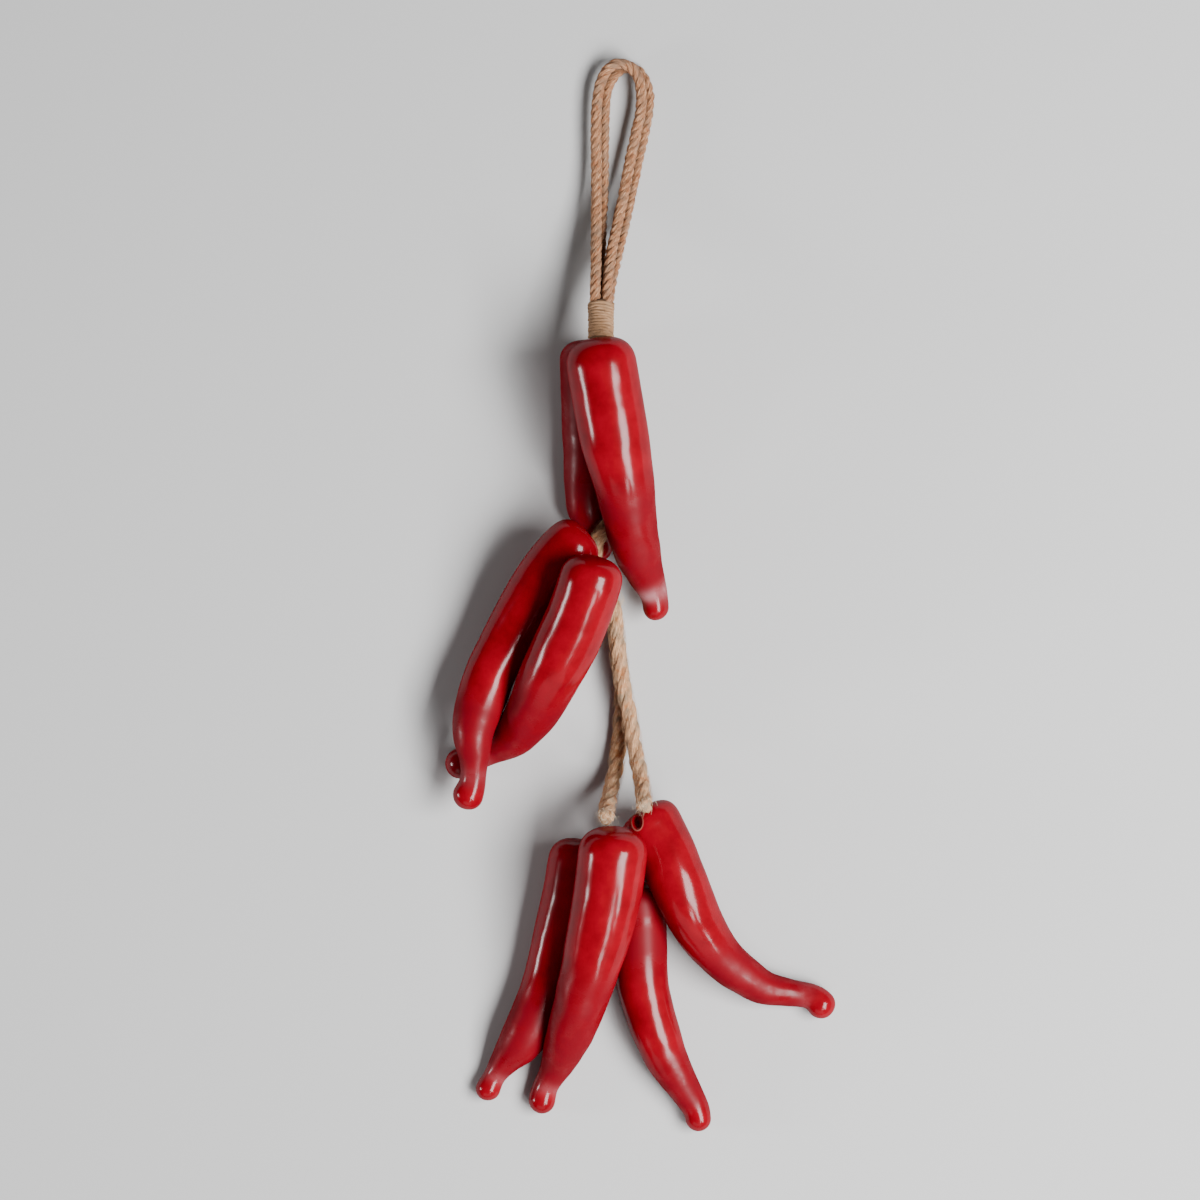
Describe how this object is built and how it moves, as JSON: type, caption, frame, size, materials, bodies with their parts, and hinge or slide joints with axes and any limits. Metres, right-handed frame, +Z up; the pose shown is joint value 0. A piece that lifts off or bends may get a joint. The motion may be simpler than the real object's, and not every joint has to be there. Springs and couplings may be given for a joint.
{
  "type": "string of glazed ornamental chillies",
  "caption": "Ornamental string of glossy red glazed chillies hung in bunches on jute rope, with a doubled hanging loop and a twine whipping, lying on its back.",
  "frame": {"origin": "middle of the ground covered by the chillies and the whipping, on the table they lie on", "axes": "+X to the string's right as seen from above, +Y along the string towards the hanging loop, +Z up from the table to the shown side"},
  "size_m": [0.1969, 0.5394, 0.0721],
  "materials": {
    "glaze": "gloss",
    "jute_cord": "matte",
    "jute_rope": "matte",
    "jute_twine": "matte"
  },
  "bodies": {
    "root": {"chilli_top_front": "glaze", "chilli_top_back": "glaze", "chilli_middle_left": "glaze", "chilli_middle_front": "glaze", "chilli_foot_left": "glaze", "chilli_foot_front": "glaze", "chilli_foot_back": "glaze", "chilli_foot_right": "glaze", "whipping": "jute_twine", "loop_cord_upper": "jute_cord", "loop_cord_under": "jute_cord", "rope_main": "jute_rope", "rope_side": "jute_rope"}
  },
  "joints": []
}
